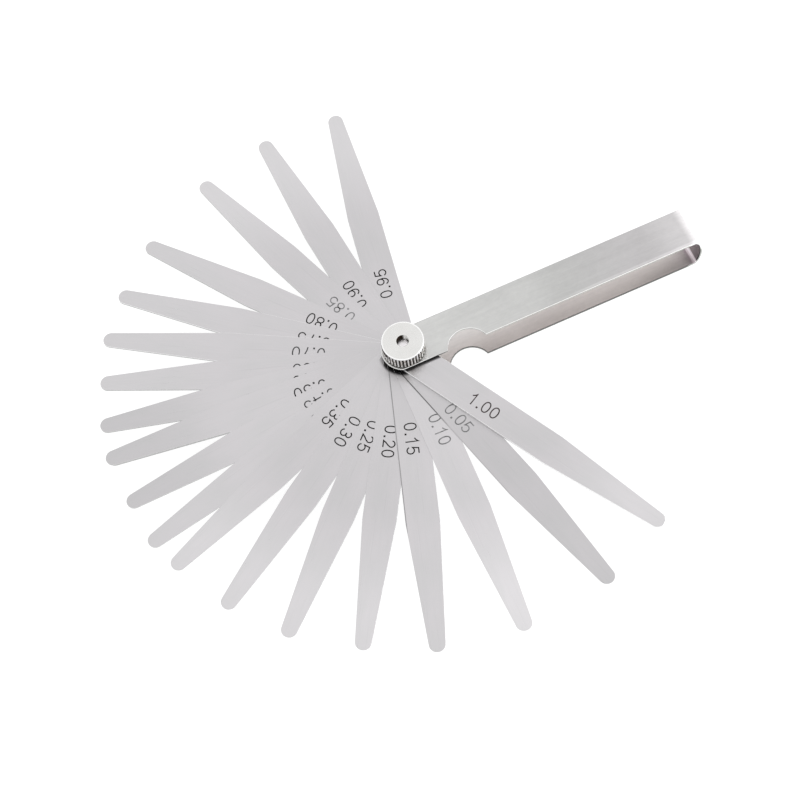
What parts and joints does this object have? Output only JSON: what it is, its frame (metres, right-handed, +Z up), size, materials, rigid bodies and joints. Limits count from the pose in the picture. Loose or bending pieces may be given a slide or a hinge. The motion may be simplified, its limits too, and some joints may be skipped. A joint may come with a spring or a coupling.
{
  "type": "feeler gauge",
  "caption": "Fan of tapered steel thickness leaves on a clamp screw with a knurled nut, stowing in a folded sheet-steel case.",
  "frame": {"origin": "centre of the clamp screw head's flat underside, on the pivot axis", "axes": "+X along the case from the pivot to its folded end, +Z up the pivot axis to the knurled nut, +Y across the case away from the thumb notch"},
  "size_m": [0.191, 0.1879, 0.0203],
  "materials": {
    "leaf_steel": "ground and satin rolled spring steel, lightly oiled",
    "case_steel": "lengthwise brushed stainless sheet",
    "nut_nickel": "bright nickel plate over turned and straight-knurled steel",
    "screw_steel": "turned steel",
    "etch_black": "thin black etched mark, for the thickness numerals on the leaves"
  },
  "bodies": {
    "case": {"case": "case_steel"},
    "pivot_screw": {"pivot_screw": "screw_steel"},
    "knurled_nut": {"knurled_nut": "nut_nickel"},
    "leaf_095": {"leaf_095": "leaf_steel"},
    "leaf_090": {"leaf_090": "leaf_steel"},
    "leaf_085": {"leaf_085": "leaf_steel"},
    "leaf_080": {"leaf_080": "leaf_steel"},
    "leaf_075": {"leaf_075": "leaf_steel"},
    "leaf_070": {"leaf_070": "leaf_steel"},
    "leaf_065": {"leaf_065": "leaf_steel"},
    "leaf_060": {"leaf_060": "leaf_steel"},
    "leaf_055": {"leaf_055": "leaf_steel"},
    "leaf_050": {"leaf_050": "leaf_steel"},
    "leaf_045": {"leaf_045": "leaf_steel"},
    "leaf_040": {"leaf_040": "leaf_steel"},
    "leaf_035": {"leaf_035": "leaf_steel"},
    "leaf_030": {"leaf_030": "leaf_steel"},
    "leaf_025": {"leaf_025": "leaf_steel"},
    "leaf_020": {"leaf_020": "leaf_steel"},
    "leaf_015": {"leaf_015": "leaf_steel"},
    "leaf_010": {"leaf_010": "leaf_steel"},
    "leaf_005": {"leaf_005": "leaf_steel"},
    "leaf_100": {"leaf_100": "leaf_steel"}
  },
  "joints": [
    {"name": "leaf_095_swing", "type": "hinge", "parent": "case", "child": "leaf_095", "pos_m": [0, 0, 0.00308], "axis": [0, 0, 1], "range_deg": [-81, 279]},
    {"name": "leaf_090_swing", "type": "hinge", "parent": "case", "child": "leaf_090", "pos_m": [0, 0, 0.00405], "axis": [0, 0, 1], "range_deg": [-95.6, 264.4]},
    {"name": "leaf_085_swing", "type": "hinge", "parent": "case", "child": "leaf_085", "pos_m": [0, 0, 0.00498], "axis": [0, 0, 1], "range_deg": [-110.3, 249.7]},
    {"name": "leaf_080_swing", "type": "hinge", "parent": "case", "child": "leaf_080", "pos_m": [0, 0, 0.00585], "axis": [0, 0, 1], "range_deg": [-128.25, 231.75]},
    {"name": "leaf_075_swing", "type": "hinge", "parent": "case", "child": "leaf_075", "pos_m": [0, 0, 0.00668], "axis": [0, 0, 1], "range_deg": [-139.9, 220.1]},
    {"name": "leaf_070_swing", "type": "hinge", "parent": "case", "child": "leaf_070", "pos_m": [0, 0, 0.00745], "axis": [0, 0, 1], "range_deg": [-149.95, 210.05]},
    {"name": "leaf_065_swing", "type": "hinge", "parent": "case", "child": "leaf_065", "pos_m": [0, 0, 0.00817], "axis": [0, 0, 1], "range_deg": [-158.6, 201.4]},
    {"name": "leaf_060_swing", "type": "hinge", "parent": "case", "child": "leaf_060", "pos_m": [0, 0, 0.00885], "axis": [0, 0, 1], "range_deg": [-168.4, 191.6]},
    {"name": "leaf_055_swing", "type": "hinge", "parent": "case", "child": "leaf_055", "pos_m": [0, 0, 0.00948], "axis": [0, 0, 1], "range_deg": [-175.7, 184.3]},
    {"name": "leaf_050_swing", "type": "hinge", "parent": "case", "child": "leaf_050", "pos_m": [0, 0, 0.01005], "axis": [0, 0, 1], "range_deg": [-175.7, 184.3]},
    {"name": "leaf_045_swing", "type": "hinge", "parent": "case", "child": "leaf_045", "pos_m": [0, 0, 0.01057], "axis": [0, 0, 1], "range_deg": [-185.4, 174.6]},
    {"name": "leaf_040_swing", "type": "hinge", "parent": "case", "child": "leaf_040", "pos_m": [0, 0, 0.01105], "axis": [0, 0, 1], "range_deg": [-194.5, 165.5]},
    {"name": "leaf_035_swing", "type": "hinge", "parent": "case", "child": "leaf_035", "pos_m": [0, 0, 0.01148], "axis": [0, 0, 1], "range_deg": [-201.3, 158.7]},
    {"name": "leaf_030_swing", "type": "hinge", "parent": "case", "child": "leaf_030", "pos_m": [0, 0, 0.01185], "axis": [0, 0, 1], "range_deg": [-213.4, 146.6]},
    {"name": "leaf_025_swing", "type": "hinge", "parent": "case", "child": "leaf_025", "pos_m": [0, 0, 0.01218], "axis": [0, 0, 1], "range_deg": [-224.9, 135.1]},
    {"name": "leaf_020_swing", "type": "hinge", "parent": "case", "child": "leaf_020", "pos_m": [0, 0, 0.01245], "axis": [0, 0, 1], "range_deg": [-239.55, 120.45]},
    {"name": "leaf_015_swing", "type": "hinge", "parent": "case", "child": "leaf_015", "pos_m": [0, 0, 0.01268], "axis": [0, 0, 1], "range_deg": [-252.4, 107.6]},
    {"name": "leaf_010_swing", "type": "hinge", "parent": "case", "child": "leaf_010", "pos_m": [0, 0, 0.01285], "axis": [0, 0, 1], "range_deg": [-267.8, 92.2]},
    {"name": "leaf_005_swing", "type": "hinge", "parent": "case", "child": "leaf_005", "pos_m": [0, 0, 0.01298], "axis": [0, 0, 1], "range_deg": [-284.8, 75.2]},
    {"name": "leaf_100_swing", "type": "hinge", "parent": "case", "child": "leaf_100", "pos_m": [0, 0, 0.01355], "axis": [0, 0, 1], "range_deg": [-298.5, 61.5]},
    {"name": "nut_turn", "type": "hinge", "parent": "case", "child": "knurled_nut", "pos_m": [0, 0, 0.01775], "axis": [0, 0, 1], "range_deg": [0, 450]},
    {"name": "screw_travel", "type": "slide", "parent": "case", "child": "pivot_screw", "axis": [0, 0, 1], "range_m": [-0.0009, 0]}
  ],
  "couplings": [
    {"joint": "screw_travel", "follows": "nut_turn", "m_per_rad": -0.00011141}
  ]
}
